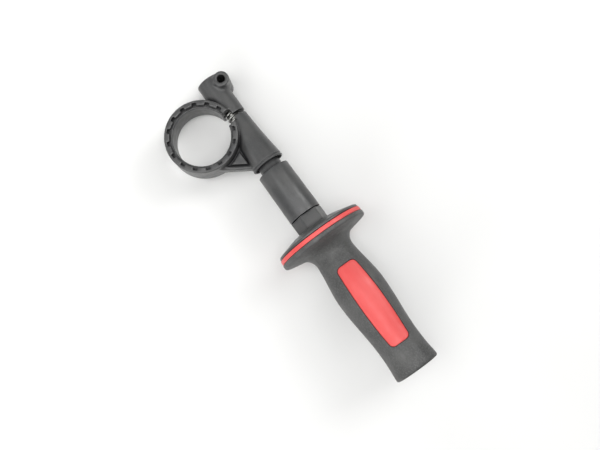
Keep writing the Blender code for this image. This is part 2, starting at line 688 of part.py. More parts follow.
def badge_outline(grown):
    """The badge seen from above: long sides that bow out a little, and round corners."""
    end = BADGE_LENGTH / 2 + grown
    corner = BADGE_CORNER + grown
    side_end = end - corner

    def half_width(along):
        bow = (BADGE_MIDDLE_WIDTH - BADGE_END_WIDTH) / 2
        return BADGE_MIDDLE_WIDTH / 2 + grown - bow * (along / end) ** 2

    side = [(along, half_width(along)) for along in stations(side_end, -side_end, BADGE_SIDE_STEPS)]
    corner_y = half_width(side_end) - corner
    quarter = arc((side_end, corner_y), corner, 0, 90)[:-1]
    upper = quarter + side + [(-x, y) for x, y in reversed(quarter)]
    return upper + [(-x, -y) for x, y in upper]


def add_badge_frame(axis, name):
    """An empty over the badge's middle, whose X runs along the grip and whose Z points out."""
    frame = bpy.data.objects.new(name, None)
    COLLECTIONS["cutters"].objects.link(frame)
    frame.parent = axis
    frame.location = (0.0, 0.0, (BADGE_FIRST + BADGE_LAST) / 2)
    frame.rotation_euler = (0.0, math.radians(-90.0), 0.0)
    return frame


def build_badge(axis):
    """The bare red badge that lies flush in the cover."""
    badge = turned("badge_inlay", badge_band(-BADGE_SINK, BADGE_THICKNESS), axis, RED, closed=True)
    edge = prism("badge_edge", badge_outline(0.0), 0.0, COVER_DISC_RADIUS,
                 add_badge_frame(axis, "badge_frame"))
    combine(badge, edge, 'INTERSECT')
    return badge


def main():
    """Builds every piece on the handle's axis, the grip's pieces on an axis of their own."""
    fixed_axis = add_axis("handle_axis")
    build_collar(fixed_axis)
    build_bolt(fixed_axis)
    build_spring(fixed_axis)
    sliding_axis = add_axis("sleeve_axis", fixed_axis)
    build_sleeve(sliding_axis)
    turning_axis = add_axis("grip_axis", sliding_axis)
    turning_axis.rotation_euler = (0.0, 0.0, GRIP_TURN)
    build_guard(turning_axis)
    build_core(turning_axis)
    build_insert(turning_axis)
    build_cover(turning_axis)
    build_badge(turning_axis)
    bpy.context.view_layer.update()


main()
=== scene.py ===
import itertools
import math

import bmesh
import bpy
import numpy as np
from mathutils import Matrix, Vector


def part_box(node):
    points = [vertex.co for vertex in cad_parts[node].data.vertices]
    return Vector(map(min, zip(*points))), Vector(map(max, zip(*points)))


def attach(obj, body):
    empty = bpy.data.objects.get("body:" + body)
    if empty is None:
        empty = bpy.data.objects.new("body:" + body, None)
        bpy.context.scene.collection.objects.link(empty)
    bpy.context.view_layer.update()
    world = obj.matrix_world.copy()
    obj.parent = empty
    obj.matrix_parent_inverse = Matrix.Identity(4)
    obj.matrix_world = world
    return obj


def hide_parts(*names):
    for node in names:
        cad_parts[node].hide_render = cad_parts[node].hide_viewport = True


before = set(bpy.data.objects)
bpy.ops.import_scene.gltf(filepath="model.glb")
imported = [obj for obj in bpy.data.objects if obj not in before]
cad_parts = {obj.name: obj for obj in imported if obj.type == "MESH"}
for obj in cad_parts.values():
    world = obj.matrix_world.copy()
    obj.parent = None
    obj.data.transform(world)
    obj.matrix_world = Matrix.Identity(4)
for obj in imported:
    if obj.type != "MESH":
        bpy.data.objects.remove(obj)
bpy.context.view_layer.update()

# Lengths are in millimetres and are turned into metres when a mesh is made. A station is a
# distance along the handle's axis from the collar's split. Across the handle, an angle runs
# from +Y towards +Z.
MM = 0.001

# Clearances, as in the solids
FACE_GAP = 0.3
SLIDING_GAP = 0.35

# Clamping collar
BORE_RADIUS = 21.5
RING_RADIUS = 27.2
RING_HALF_HEIGHT = 12.5
RING_EDGE = 0.9
LAND_RADIUS = 23.3
SPLIT_HALF = 1.0
SLOT_HALF = 4.8
SLOT_END = 28.3
NOTCH_PITCH = math.radians(22.5)
NOTCH_HALF = 1.7
NOTCH_DEPTH = 3.2
NOTCH_RADIUS = 25.4
AXIS_OFFSET = 28.1
BOSS_RADIUS = 9.7
BOSS_END = -34.0
BOSS_EDGE = 1.4
GUIDE_STATION = -26.7
GUIDE_OFFSET = 36.4
GUIDE_HOLE_RADIUS = 3.1
GUIDE_RADIUS = 5.9
GUIDE_TOP = 11.6
GUIDE_BOTTOM = -18.0
GUIDE_EDGE = 1.1
GUIDE_FILLET = 3.0
CONE_LENGTH = 43.5
CONE_SMALL_RADIUS = 9.4
CONE_LARGE_RADIUS = 12.75
CONE_FLARE_POWER = 1.6
CONE_EDGE = 0.9
GROOVE_STATION = 41.6
GROOVE_HALF = 0.45
GROOVE_DEPTH = 0.5
SOCKET_FLOOR = 32.5
SOCKET_RADIUS = 9.1
SOCKET_MOUTH_RADIUS = 11.1
SOCKET_MOUTH_START = 41.9
STRAP_THICKNESS = 2.9
STRAP_FROM_CENTRE = 24.7
STRAP_HALF_HEIGHT = 4.5
STRAP_TAPER = 20.0
STRAP_INTO_CONE = 0.5
STRAP_CORNER = (42.0, 19.05)
WEB_HALF = 3.0
PANEL_HALF = 5.5
PANEL_RING_GAP = 1.9
PANEL_STRAP_GAP = 0.9
PANEL_CONE_GAP = 2.7
BOLT_HOLE_RADIUS = 4.4
SPRING_SEAT_RADIUS = 5.95
SPRING_SEAT_END = 9.3
HEAD_BACK = -30.2
HEAD_FRONT = -22.4
HEAD_RADIUS = 6.5
HEAD_FLAT_HALF = 5.3
GRID_STEP = 0.48
GRID_MARGIN = 1.5
MOULD_EDGE = 0.35
MOULD_FILLET = 0.9
SMALL_FILLET = 0.6

# Bolt and spring
BOLT_RADIUS = 3.95
HEAD_EDGE = 0.8
THREAD_PITCH = 1.25
THREAD_DEPTH = 0.55
THREAD_START = 107.4
BOLT_END = 129.2
ROD_GROOVE_RADIUS = 3.35
SPRING_WIRE_RADIUS = 0.65
SPRING_RADIUS = 4.95
SPRING_PITCH = 3.1
INSERT_START = 116.7
INSERT_END = 130.7
INSERT_APOTHEM = 6.5
INSERT_HOLE_RADIUS = 4.0

# Sleeve
SLEEVE_START = 49.1
SLEEVE_END = 89.6
SLEEVE_START_RADIUS = 12.3
SLEEVE_END_RADIUS = 12.7
SLEEVE_EDGE = 0.7
NECK_RADIUS = 8.75
NECK_START = 32.8
SLEEVE_CORE_RADIUS = 9.4
SLEEVE_CORE_START = 55.1

# Guard and core
HEX_START = 89.9
HEX_APOTHEM = 11.258
HEX_SIDES = 6
HEX_TURN = math.radians(81.0)
HEX_SHARPNESS = 40.0
HEX_BAND = 1.0
GUARD_HUB = 101.4
GUARD_HUB_RADIUS = 20.0
GUARD_RIM_FRONT = 105.5
GUARD_BACK = 107.4
GUARD_RADIUS = 34.1
GUARD_EDGE = 1.0
FRONT_SPIGOT_RADIUS = 9.05
FRONT_SPIGOT_LENGTH = 5.0
BACK_SPIGOT_RADIUS = 8.0
BACK_SPIGOT_LENGTH = 9.0
CORE_FRONT = 107.7
CORE_BACK = 110.8
CORE_RADIUS = 34.7
CORE_TUBE_RADIUS = 11.5
CORE_HOLLOW_RADIUS = 8.5
CORE_END = 220.7
CORE_BORE_END = 135.2
CORE_HOLLOW_START = 138.2

# Soft cover and badge
COVER_FRONT = 111.1
COVER_END = 226.0
COVER_FLOOR = 221.0
COVER_CAVITY = 11.85
COVER_RADIUS = 35.1
COVER_RIM = 3.3
COVER_DISH = 3.3
COVER_DISH_RADIUS = 19.3
COVER_EDGE = 1.5
COVER_SHOULDER = 8.0
COVER_NECK_CURVE = 10.0
COVER_NECK_END = 4.0
GRIP_WAIST = (11.9, 15.45)
GRIP_SWELL = (47.5, 18.8)
GRIP_HOLLOW = (93.0, 16.2)
GRIP_LIP = (111.7, 17.4)
GRIP_END_EDGE = 1.6
GRIP_END_DISH = 0.8
GRIP_END_DISH_RADIUS = 13.0
GRIP_END_SLOPE = 1.0
GRIP_TURN = math.radians(85.0)
BADGE_MIDDLE = 170.1
BADGE_HALF_LENGTH = 33.6
BADGE_END_HALF_WIDTH = 7.6
BADGE_HALF_WIDTH = 9.3
BADGE_CORNER = 3.6
BADGE_THICKNESS = 1.4
BADGE_SINK = 0.1
BADGE_EDGE = 0.45
POCKET_LIP = 0.2

# Edges of the turned pieces, from sharp to round
SHARP_EDGE = 0.2
FINE_EDGE = 0.3
SOFT_EDGE = 0.4
INNER_EDGE = 0.5
TUBE_EDGE = 0.6
FOOT_EDGE = 0.8
DISH_EDGE = 1.0
HUB_EDGE = 2.5

# Smoothness, and the share of the badge's length that its caps shrink to
BADGE_SPINE = 0.6
TURN_STEPS = 192
CORNER_STEPS = 5
GRIP_STEPS = 72
THREAD_STEPS = 48
THREAD_RINGS = 12
WIRE_STEPS = 16
POCKET_RINGS = 6
BADGE_RINGS = 8
SHARP_ANGLE = math.radians(40.0)
NEAR_AXIS = 1e-6
SAME_POINT = 1e-5

# Cutters reach past what they cut
CUT_REACH = 10.0
CUT_MARGIN = 1.0
CUT_STEP = 0.2

# The photograph: camera height over the sheet, the guard's centre on the sheet measured from the
# point under the camera, and how the handle lies. X runs right and Y up in the picture.
CAMERA_HEIGHT = 735.0
CAMERA_LENS = 58.0
CAMERA_SENSOR = 36.0
CAMERA_NEAR = 0.01
CAMERA_FAR = 20.0
GUARD_CENTRE_ON_SHEET = (15.35, -8.22, 35.3)
GUARD_CENTRE_STATION = 109.25
HANDLE_HEADING = math.radians(-53.95)
HANDLE_PITCH = math.radians(7.5)
HANDLE_ROLL = math.radians(1.5)

# The floor lies under the guard's rim and the rod guide's lower end, a little off the fitted sheet
FLOOR_HEIGHT = 0.41
FLOOR_TILT = math.radians(0.78)

# The studio, in metres and watts. A light has its name, azimuth, elevation and power, and its
# angles are in degrees over the sheet.
FLOOR_RADIUS = 6.0
FLOOR_SIDES = 96
LIGHT_DISTANCE = 1.5
LIGHT_SIZE = 0.7
WORLD_LIGHT = 0.12
LIGHTS = (("top", 0.0, 90.0, 7.2),
          ("high_left", 180.0, 65.0, 4.2),
          ("high_back", 60.0, 65.0, 3.8),
          ("right", 42.0, 40.0, 8.4),
          ("front", 250.0, 40.0, 3.4),
          ("left", 216.0, 50.0, 2.8),
          ("low_back", 120.0, 18.0, 4.6),
          ("low_left", 180.0, 18.0, 3.0),
          ("low_front", 240.0, 18.0, 5.2))

# Colours of the materials, and the soft grip's sheen
NYLON_DARK = (0.043, 0.044, 0.045)
NYLON_PALE = (0.068, 0.068, 0.067)
NYLON_GLASS = (0.082, 0.082, 0.08)
# Paler edge colour: part wear, part painted highlight
NYLON_EDGE_WEAR_AND_HIGHLIGHT = (0.12, 0.12, 0.117)
NYLON_SHADE = (0.02, 0.02, 0.021)
COVER_DARK = (0.036, 0.037, 0.037)
COVER_PALE = (0.074, 0.074, 0.072)
COVER_SPECKLE = (0.09, 0.09, 0.087)
COVER_MARK = (0.105, 0.104, 0.102)
COVER_SHADE = (0.02, 0.02, 0.02)
COVER_SHEEN = 0.05
COVER_SHEEN_ROUGHNESS = 0.5
RED_DEEP = (0.67, 0.06, 0.057)
RED_LIGHT = (0.72, 0.085, 0.08)
STEEL_DARK = (0.52, 0.52, 0.5)
STEEL_PALE = (0.74, 0.74, 0.71)
STEEL_SHADE = (0.07, 0.07, 0.065)
FLOOR_DARK = (0.80, 0.80, 0.79)
FLOOR_PALE = (0.83, 0.83, 0.82)
FLOOR_ROUGHNESS = 0.8

# How open a surface is between the darkest corner and free skin, as ambient occlusion gives it; colours are
# darkened by it as painted shade
SHADE_SAMPLES = 8
SHADE_DEEP = 0.53
SHADE_FREE = 0.94


# Objects and meshes

def make_object(name, mesh):
    """Links a mesh as an object, smooth with its sharp edges kept."""
    obj = bpy.data.objects.new(name, mesh)
    bpy.context.scene.collection.objects.link(obj)
    mesh.shade_smooth()
    mesh.set_sharp_from_angle(angle=SHARP_ANGLE)
    return obj


def mesh_from(name, points, faces, merge=False):
    """A mesh from points in millimetres, faces turned outwards. Merging joins points that coincide."""
    mesh = bpy.data.meshes.new(name)
    mesh.from_pydata([tuple(coordinate * MM for coordinate in point) for point in points], [], faces)
    bm = bmesh.new()
    bm.from_mesh(mesh)
    bmesh.ops.recalc_face_normals(bm, faces=bm.faces)
    if merge:
        bmesh.ops.remove_doubles(bm, verts=bm.verts, dist=SAME_POINT * MM)
    bm.to_mesh(mesh)
    bm.free()
    return mesh


def finished(bm, name):
    """The mesh of a form that was made by editing."""
    mesh = bpy.data.meshes.new(name)
    bm.to_mesh(mesh)
    bm.free()
    return mesh


def strip(one, two):
    """Faces between two rings of points, given by their numbers."""
    faces = []
    for step in range(len(one)):
        after = (step + 1) % len(one)
        faces.append(list(dict.fromkeys((one[step], one[after], two[after], two[step]))))
    return faces


def tube(name, points, size):
    """An object over rings of points, all of one size, with flat ends."""
    rings = [range(first, first + size) for first in range(0, len(points), size)]
    faces = []
    for one, two in zip(rings, rings[1:]):
        faces += strip(one, two)
    faces += [list(rings[0]), list(reversed(rings[-1]))]
    return make_object(name, mesh_from(name, points, faces))


def around(station, radius, angle):
    """A point about the handle's axis."""
    return (station, AXIS_OFFSET + radius * math.cos(angle), radius * math.sin(angle))


def cut_out(obj, cutters):
    """An object with its cutters taken out of it. The cutters are removed."""
    for cutter in cutters:
        modifier = obj.modifiers.new("cut", 'BOOLEAN')
        modifier.operation = 'DIFFERENCE'
        modifier.solver = 'EXACT'
        modifier.object = cutter
    bpy.context.view_layer.update()
    evaluated = obj.evaluated_get(bpy.context.evaluated_depsgraph_get())
    mesh = bpy.data.meshes.new_from_object(evaluated)
    name = obj.name
    for used in [obj] + cutters:
        bpy.data.objects.remove(used, do_unlink=True)
    return make_object(name, mesh)


def cutter_box(low, high):
    """A box between two corners, for cutting."""
    bm = bmesh.new()
    bmesh.ops.create_cube(bm, size=1.0)
    size = [abs(b - a) * MM for a, b in zip(low, high)]
    middle = [(a + b) / 2 * MM for a, b in zip(low, high)]
    bmesh.ops.scale(bm, vec=size, verts=bm.verts)
    bmesh.ops.translate(bm, vec=middle, verts=bm.verts)
    return cutter_from(bm)


def cutter_rod(radius, x, y, half_length):
    """An upright rod, for cutting."""
    bm = bmesh.new()
    bmesh.ops.create_cone(bm, cap_ends=True, segments=THREAD_STEPS, radius1=radius * MM,
                          radius2=radius * MM, depth=2 * half_length * MM)
    bmesh.ops.translate(bm, vec=(x * MM, y * MM, 0.0), verts=bm.verts)
    return cutter_from(bm)


def cutter_from(bm):
    """An object for cutting, from an edited mesh."""
    return make_object("cutter", finished(bm, "cutter"))


# Signed distances for the moulded collar

def blend_union(a, b, radius):
    """Union of two fields with a fillet."""
    overlap = np.maximum(radius - np.abs(a - b), 0.0)
    return np.minimum(a, b) - overlap ** 2 / (4 * radius)


def blend_cut(a, b, radius=MOULD_EDGE):
    """The part of a outside b, with its edges eased."""
    return -blend_union(-a, b, radius)


def rounded_pair(a, b, edge):
    """Where two distances are both negative, with a rounded edge between their surfaces."""
    outside = np.hypot(np.maximum(a + edge, 0.0), np.maximum(b + edge, 0.0))
    return outside + np.minimum(np.maximum(a + edge, b + edge), 0.0) - edge


def between(values, low, high):
    """Signed distance to the space between two parallel planes."""
    return np.abs(values - (low + high) / 2) - (high - low) / 2


def strap_frame():
    """Where the strap's outer face starts and ends, its direction, and the way in from it."""
    corner = np.array(STRAP_CORNER)
    reach = np.linalg.norm(corner)
    angle = math.atan2(corner[1], corner[0]) - math.acos(STRAP_FROM_CENTRE / reach)
    touch = STRAP_FROM_CENTRE * np.array([math.cos(angle), math.sin(angle)])
    along = (corner - touch) / np.linalg.norm(corner - touch)
    return touch, corner, along, np.array([-along[1], along[0]])


def cone_radius(station):
    """The cone's radius, which flares more and more towards the sleeve."""
    share = np.clip(station / CONE_LENGTH, 0.0, 1.0)
    return CONE_SMALL_RADIUS + (CONE_LARGE_RADIUS - CONE_SMALL_RADIUS) * share ** CONE_FLARE_POWER


def barrel_field(x, across):
    """Cone and boss, with the groove behind the cone's rim."""
    cone = rounded_pair(across - cone_radius(x), between(x, 0.0, CONE_LENGTH), CONE_EDGE)
    groove = np.maximum(cone_radius(x) - GROOVE_DEPTH - across, np.abs(x - GROOVE_STATION) - GROOVE_HALF)
    cone = blend_cut(cone, groove)
    boss = rounded_pair(across - BOSS_RADIUS, between(x, BOSS_END, 0.0), BOSS_EDGE)
    return np.minimum(cone, boss)


def strap_field(x, y, z):
    """The strap, which tapers from the ring's height to a low bar."""
    touch, corner, along, inward = strap_frame()
    run = (x - touch[0]) * along[0] + (y - touch[1]) * along[1]
    depth = (x - touch[0]) * inward[0] + (y - touch[1]) * inward[1]
    share = np.clip(run / STRAP_TAPER, 0.0, 1.0)
    half = RING_HALF_HEIGHT + (STRAP_HALF_HEIGHT - RING_HALF_HEIGHT) * share * share * (3 - 2 * share)
    length = np.linalg.norm(corner - touch) + STRAP_INTO_CONE
    bar = rounded_pair(np.abs(z) - half, between(depth, 0.0, STRAP_THICKNESS), RING_EDGE)
    return np.maximum(bar, between(run, 0.0, length)), depth


def web_field(x, y, z, from_bore, strap_depth):
    """The thin web and the raised panel on it."""
    sheet = np.maximum(np.abs(z) - WEB_HALF, -strap_depth + STRAP_THICKNESS / 2)
    sheet = np.maximum(sheet, between(x, 0.0, STRAP_CORNER[0]))
    sheet = np.maximum(sheet, between(y, strap_frame()[0][1], AXIS_OFFSET))
    from_ring = np.maximum(RING_RADIUS + PANEL_RING_GAP - from_bore, -np.minimum(x, y))
    from_strap = STRAP_THICKNESS + PANEL_STRAP_GAP - strap_depth
    from_cone = y - (AXIS_OFFSET - CONE_SMALL_RADIUS - PANEL_CONE_GAP)
    triangle = blend_cut(blend_cut(from_ring, -from_strap, SMALL_FILLET), -from_cone, SMALL_FILLET)
    return sheet, rounded_pair(triangle, np.abs(z) - PANEL_HALF, MOULD_EDGE)


def collar_field(x, y, z):
    """The whole collar as a field of signed distances."""
    from_bore = np.hypot(x, y)
    across = np.hypot(y - AXIS_OFFSET, z)
    from_guide = np.hypot(x - GUIDE_STATION, y - GUIDE_OFFSET)
    ring = rounded_pair(from_bore - RING_RADIUS, np.abs(z) - RING_HALF_HEIGHT, RING_EDGE)
    barrel = barrel_field(x, across)
    guide = rounded_pair(from_guide - GUIDE_RADIUS, between(z, GUIDE_BOTTOM, GUIDE_TOP), GUIDE_EDGE)
    barrel = np.maximum(blend_union(barrel, guide, GUIDE_FILLET), BOSS_END - x)
    strap, strap_depth = strap_field(x, y, z)
    web, panel = web_field(x, y, z, from_bore, strap_depth)
    envelope = np.minimum(from_bore - RING_RADIUS, -strap_depth)
    body = np.maximum(blend_union(ring, strap, MOULD_FILLET), envelope)
    body = blend_union(body, barrel, MOULD_FILLET)
    body = blend_union(body, web, SMALL_FILLET)
    body = blend_union(body, panel, MOULD_EDGE)
    body = blend_cut(body, from_bore - BORE_RADIUS)
    body = blend_cut(body, np.maximum(np.abs(x) - SLOT_HALF, between(y, 0.0, SLOT_END)))
    body = blend_cut(body, np.maximum(np.abs(x) - SPLIT_HALF, -y))
    body = blend_cut(body, notch_field(x, y, z, from_bore))
    body = blend_cut(body, np.maximum(from_bore - LAND_RADIUS, RING_HALF_HEIGHT - NOTCH_DEPTH - z))
    bolt_way = between(x, HEAD_FRONT, SOCKET_FLOOR + CUT_MARGIN)
    body = blend_cut(body, np.maximum(across - BOLT_HOLE_RADIUS, bolt_way))
    body = blend_cut(body, np.maximum(across - SPRING_SEAT_RADIUS, np.abs(x) - SPRING_SEAT_END))
    body = blend_cut(body, np.maximum(across - SOCKET_RADIUS, SOCKET_FLOOR - x))
    body = blend_cut(body, np.maximum(across - SOCKET_MOUTH_RADIUS, SOCKET_MOUTH_START - x))
    pocket = np.maximum(across - HEAD_RADIUS - SLIDING_GAP, np.abs(z) - HEAD_FLAT_HALF - SLIDING_GAP)
    body = blend_cut(body, np.maximum(pocket, x - HEAD_FRONT - FACE_GAP))
    return blend_cut(body, from_guide - GUIDE_HOLE_RADIUS)


def notch_field(x, y, z, from_bore):
    """The notches of the ring's upper face, one at every pitch."""
    angle = np.arctan2(y, x) - math.pi / 2
    folded = angle - NOTCH_PITCH * np.round(angle / NOTCH_PITCH)
    side = np.abs(from_bore * np.sin(folded)) - NOTCH_HALF
    return np.maximum(np.maximum(side, from_bore - NOTCH_RADIUS), RING_HALF_HEIGHT - NOTCH_DEPTH - z)


def net(field, low, step):
    """A net of quads over the zero surface of a field, with one point in each cell that it crosses."""
    inside = field < 0
    shape = np.array(field.shape) - 1
    corners = {offset: tuple(slice(o, o + n) for o, n in zip(offset, shape))
               for offset in itertools.product((0, 1), repeat=3)}
    count = sum(inside[region].astype(np.int8) for region in corners.values())
    crossed = (count > 0) & (count < len(corners))
    number = np.full(crossed.shape, -1)
    number[crossed] = np.arange(crossed.sum())
    total = np.zeros((crossed.sum(), 3))
    hits = np.zeros(crossed.sum())
    for first, second in itertools.combinations(corners, 2):
        if sum(abs(a - b) for a, b in zip(first, second)) != 1:
            continue
        start = field[corners[first]][crossed]
        end = field[corners[second]][crossed]
        hit = (start < 0) != (end < 0)
        share = np.where(hit, start / np.where(hit, start - end, 1.0), 0.0)
        point = np.array(first) + share[:, None] * (np.array(second) - np.array(first))
        total += np.where(hit[:, None], point, 0.0)
        hits += hit
    points = low + step * (np.argwhere(crossed) + total / hits[:, None])
    quads = []
    for axis in range(3):
        one, two = [other for other in range(3) if other != axis]
        near = np.take(inside, range(shape[axis]), axis)
        far = np.take(inside, range(1, shape[axis] + 1), axis)
        edges = np.argwhere(near != far)
        edges = edges[(edges[:, one] > 0) & (edges[:, two] > 0)]
        ring = []
        for back in ((0, 0), (1, 0), (1, 1), (0, 1)):
            cell = edges.copy()
            cell[:, one] -= back[0]
            cell[:, two] -= back[1]
            ring.append(number[tuple(cell.T)])
        quads.append(np.stack(ring, axis=1))
    return points, np.concatenate(quads)


def build_collar():
    """The clamping collar, from its field of distances."""
    low, high = (np.array(corner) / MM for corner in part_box("clamp_collar"))
    low, high = low - GRID_MARGIN, high + GRID_MARGIN
    ticks = [np.arange(a, b, GRID_STEP) for a, b in zip(low, high)]
    field = collar_field(*np.meshgrid(*ticks, indexing="ij"))
    points, quads = net(field, low, GRID_STEP)
    return make_object("clamp_collar_moulding", mesh_from("clamp_collar_moulding", points, quads.tolist()))


# Turned pieces

def eased_outline(corners):
    """An outline of (station, radius, edge) corners, with an arc of that radius at each corner."""
    outline = []
    for index, (station, radius, edge) in enumerate(corners):
        here = Vector((station, radius))
        if edge == 0:
            outline.append(tuple(here))
            continue
        before = Vector(corners[index - 1][:2]) - here
        after = Vector(corners[(index + 1) % len(corners)][:2]) - here
        half = before.angle(after) / 2
        reach = edge / math.tan(half)
        centre = here + (before.normalized() + after.normalized()).normalized() * edge / math.sin(half)
        start = here + before.normalized() * reach - centre
        turn = start.angle_signed(here + after.normalized() * reach - centre)
        for step in range(CORNER_STEPS + 1):
            arm = start.copy()
            arm.rotate(Matrix.Rotation(-turn * step / CORNER_STEPS, 2))
            outline.append(tuple(centre + arm))
    return outline


def hexagon(angle):
    """How far a hexagon with eased corners lies from its centre, for a side at distance 1."""
    total = 0.0
    for side in range(HEX_SIDES):
        total += max(math.cos(angle - HEX_TURN - side * 2 * math.pi / HEX_SIDES), 0.0) ** HEX_SHARPNESS
    return total ** (-1 / HEX_SHARPNESS)


def lathe(name, outline, closed=False, hexagonal=lambda radius: False):
    """Turns an outline of (station, radius) about the handle's axis; a point may ride a hexagon instead."""
    points, rings, faces = [], [], []
    for station, radius in outline:
        if radius < NEAR_AXIS:
            rings.append([len(points)] * TURN_STEPS)
            points.append((station, AXIS_OFFSET, 0.0))
            continue
        rings.append(range(len(points), len(points) + TURN_STEPS))
        for step in range(TURN_STEPS):
            angle = 2 * math.pi * step / TURN_STEPS
            reach = radius * hexagon(angle) if hexagonal(radius) else radius
            points.append(around(station, reach, angle))
    if closed:
        rings.append(rings[0])
    for one, two in zip(rings, rings[1:]):
        faces += strip(one, two)
    return make_object(name, mesh_from(name, points, faces))


def build_sleeve():
    """The spacer sleeve, its neck in the cone and its body cored from behind."""
    outline = eased_outline([(SLEEVE_END, SLEEVE_CORE_RADIUS, SHARP_EDGE),
                             (SLEEVE_END, SLEEVE_END_RADIUS, SOFT_EDGE),
                             (SLEEVE_START, SLEEVE_START_RADIUS, SLEEVE_EDGE),
                             (SLEEVE_START, NECK_RADIUS, FINE_EDGE),
                             (NECK_START, NECK_RADIUS, INNER_EDGE),
                             (NECK_START, BOLT_HOLE_RADIUS, FINE_EDGE),
                             (SLEEVE_CORE_START, BOLT_HOLE_RADIUS, FINE_EDGE),
                             (SLEEVE_CORE_START, SLEEVE_CORE_RADIUS, INNER_EDGE)])
    return lathe("spacer_sleeve_body", outline, closed=True)


def build_guard():
    """The guard disc with its hexagon neck and its two spigots."""
    spigot_start = HEX_START - FRONT_SPIGOT_LENGTH
    spigot_end = GUARD_BACK + BACK_SPIGOT_LENGTH
    outline = eased_outline([(spigot_end, BOLT_HOLE_RADIUS, FINE_EDGE),
                             (spigot_end, BACK_SPIGOT_RADIUS, SOFT_EDGE),
                             (GUARD_BACK, BACK_SPIGOT_RADIUS, FINE_EDGE),
                             (GUARD_BACK, GUARD_RADIUS, SOFT_EDGE),
                             (GUARD_RIM_FRONT, GUARD_RADIUS, GUARD_EDGE),
                             (GUARD_HUB, GUARD_HUB_RADIUS, HUB_EDGE),
                             (GUARD_HUB, HEX_APOTHEM, FOOT_EDGE),
                             (HEX_START, HEX_APOTHEM, INNER_EDGE),
                             (HEX_START, FRONT_SPIGOT_RADIUS, SHARP_EDGE),
                             (spigot_start, FRONT_SPIGOT_RADIUS, SOFT_EDGE),
                             (spigot_start, BOLT_HOLE_RADIUS, FINE_EDGE)])
    return lathe("guard_disc_moulding", outline, closed=True,
                 hexagonal=lambda radius: abs(radius - HEX_APOTHEM) < HEX_BAND)


def build_core():
    """The red core: the disc that shows at the guard's edge and the tube inside the grip."""
    spigot_hole = BACK_SPIGOT_RADIUS + SLIDING_GAP
    outline = eased_outline([(CORE_END, CORE_HOLLOW_RADIUS, FINE_EDGE),
                             (CORE_END, CORE_TUBE_RADIUS, TUBE_EDGE),
                             (CORE_BACK, CORE_TUBE_RADIUS, FOOT_EDGE),
                             (CORE_BACK, CORE_RADIUS, FINE_EDGE),
                             (CORE_FRONT, CORE_RADIUS, FINE_EDGE),
                             (CORE_FRONT, spigot_hole, FINE_EDGE),
                             (INSERT_START, spigot_hole, 0),
                             (INSERT_START, BOLT_HOLE_RADIUS, 0),
                             (CORE_BORE_END, BOLT_HOLE_RADIUS, FINE_EDGE),
                             (CORE_BORE_END, 0.0, 0),
                             (CORE_HOLLOW_START, 0.0, 0),
                             (CORE_HOLLOW_START, CORE_HOLLOW_RADIUS, DISH_EDGE)])
    return lathe("grip_core_moulding", outline, closed=True)


def grip_radius(station):
    """The grip's radius: a palm swell between a waist and a flared end."""
    along = station - COVER_FRONT
    for (start, low), (end, high) in ((GRIP_WAIST, GRIP_SWELL), (GRIP_SWELL, GRIP_HOLLOW)):
        if along < end:
            share = max((along - start) / (end - start), 0.0)
            return low + (high - low) * (1 - math.cos(math.pi * share)) / 2
    share = min((along - GRIP_HOLLOW[0]) / (GRIP_LIP[0] - GRIP_HOLLOW[0]), 1.0)
    return GRIP_HOLLOW[1] + (GRIP_LIP[1] - GRIP_HOLLOW[1]) * share ** 2


def grip_outline():
    """The soft cover's outline, from the middle of its end round to its closed cavity."""
    waist = COVER_FRONT + GRIP_WAIST[0]
    lip = COVER_FRONT + GRIP_LIP[0]
    rim_back = COVER_FRONT + COVER_RIM
    dish = rim_back + COVER_DISH
    outline = [(COVER_END - GRIP_END_DISH, 0.0)]
    outline += eased_outline([(COVER_END - GRIP_END_DISH, 0.0, 0),
                              (COVER_END - GRIP_END_DISH, GRIP_END_DISH_RADIUS, DISH_EDGE),
                              (COVER_END, GRIP_END_DISH_RADIUS + GRIP_END_SLOPE, FOOT_EDGE),
                              (COVER_END, GRIP_LIP[1], GRIP_END_EDGE),
                              (lip, GRIP_LIP[1], 0)])[1:-1]
    for step in range(GRIP_STEPS + 1):
        station = lip + (waist + COVER_NECK_END - lip) * step / GRIP_STEPS
        outline.append((station, grip_radius(station)))
    neck_end = waist + COVER_NECK_END
    outline += eased_outline([(neck_end, grip_radius(neck_end), 0),
                              (waist, GRIP_WAIST[1], COVER_NECK_CURVE),
                              (dish, COVER_DISH_RADIUS, COVER_SHOULDER),
                              (rim_back, COVER_RADIUS, COVER_EDGE),
                              (COVER_FRONT, COVER_RADIUS, SOFT_EDGE),
                              (COVER_FRONT, COVER_CAVITY, FINE_EDGE),
                              (COVER_FLOOR, COVER_CAVITY, INNER_EDGE),
                              (COVER_FLOOR, 0.0, 0)])[1:]
    return outline


def badge_edge(grown):
    """The badge's edge seen from above, as (along, across) points, grown by a distance."""
    end = BADGE_HALF_LENGTH + grown
    corner = BADGE_CORNER + grown
    straight = end - corner

    def half_width(along):
        """The badge is a little narrower towards its ends."""
        bow = BADGE_HALF_WIDTH - BADGE_END_HALF_WIDTH
        return BADGE_HALF_WIDTH + grown - bow * (along / end) ** 2

    steps = 2 * CORNER_STEPS
    quarter = []
    for step in range(steps):
        angle = math.pi / 2 * step / steps
        quarter.append((straight + corner * math.cos(angle),
                        half_width(straight) - corner + corner * math.sin(angle)))
    stations = [straight - 2 * straight * step / GRIP_STEPS for step in range(GRIP_STEPS + 1)]
    side = [(along, half_width(along)) for along in stations]
    across_end = half_width(straight) - corner
    end_face = [(-end, across_end * (1 - 2 * step / steps)) for step in range(1, steps)]
    upper = quarter + side + [(-x, y) for x, y in reversed(quarter)] + end_face
    return upper + [(-x, -y) for x, y in upper]


